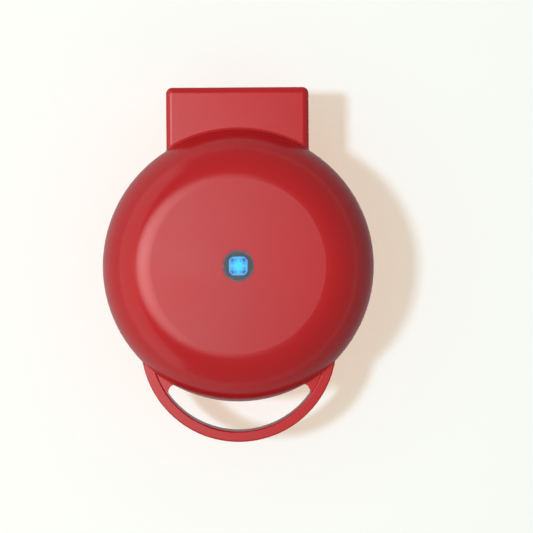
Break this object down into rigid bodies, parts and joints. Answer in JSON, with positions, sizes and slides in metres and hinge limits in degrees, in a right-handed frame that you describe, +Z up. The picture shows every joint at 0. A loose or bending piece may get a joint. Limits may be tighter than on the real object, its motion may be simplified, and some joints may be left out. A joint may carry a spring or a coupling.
{
  "type": "waffle maker",
  "caption": "Small round electric waffle maker with a domed lid hinged to its base, finger loops at the front, pegged round plates inside and an indicator light on top.",
  "frame": {"origin": "on the table under the middle of the round body", "axes": "+X to the right seen from the front, +Y from the finger loops at the front to the hinge block behind, +Z up"},
  "size_m": [0.132, 0.1726, 0.076],
  "materials": {
    "red_shell": "high gloss moulded red, worn to a faint haze by handling",
    "frame_plastic": "fine satin grain, heat-resistant",
    "nonstick": "dark non-stick coating on cast metal",
    "plain_steel": "zinc-plated, satin",
    "element_sheath": "dull heat-tinted sheath",
    "smoked_lens": "clear smoked plastic, polished",
    "cyan_jewel": "faceted clear plastic, lit from below",
    "white_plastic": "satin, heat-resistant",
    "circuit_board": "glossy solder mask on glass laminate",
    "emitter_cap": "soft yellow phosphor cap",
    "rubber_dark": "matt, slightly dusty",
    "black_plastic": "fine satin",
    "silicone_white": "matt silicone sleeve",
    "thermostat_case": "pressed can, satin",
    "fuse_case": "drawn case, satin",
    "glass_sleeve": "woven glass-fibre sleeve"
  },
  "bodies": {
    "base": {"base_shell": "red_shell", "base_frame": "frame_plastic", "lower_plate": "nonstick", "lower_plate_screws": "plain_steel", "lower_clamp_screws": "plain_steel", "lower_element_clamp": "plain_steel", "lower_heat_shield": "plain_steel", "lower_heating_element": "element_sheath", "thermal_fuse": "fuse_case", "fuse_strap": "plain_steel", "foot_front_left": "rubber_dark", "foot_front_right": "rubber_dark", "foot_rear_left": "rubber_dark", "foot_rear_right": "rubber_dark", "hinge_pin_left": "plain_steel", "hinge_pin_right": "plain_steel", "hinge_wire_sleeve": "glass_sleeve", "cord_gland": "black_plastic", "cord_clamp": "black_plastic", "cord_clamp_screws": "plain_steel", "terminal_block": "white_plastic", "terminal_screws": "plain_steel", "base_leads": "silicone_white"},
    "lid": {"lid_shell": "red_shell", "lid_frame": "frame_plastic", "upper_plate": "nonstick", "upper_plate_screws": "plain_steel", "upper_heating_element": "element_sheath", "upper_element_clamp": "plain_steel", "upper_clamp_screws": "plain_steel", "upper_heat_shield": "plain_steel", "thermostat": "thermostat_case", "thermostat_screws": "plain_steel", "light_lens": "smoked_lens", "light_jewel": "cyan_jewel", "light_housing": "white_plastic", "light_board": "circuit_board", "light_emitter": "emitter_cap", "light_retainer": "plain_steel", "lid_leads": "silicone_white", "light_leads": "silicone_white"}
  },
  "joints": [
    {"name": "lid_hinge", "type": "hinge", "parent": "base", "child": "lid", "pos_m": [0, 0.07853, 0.039], "axis": [-1, 0, 0], "range_deg": [0, 95]}
  ]
}
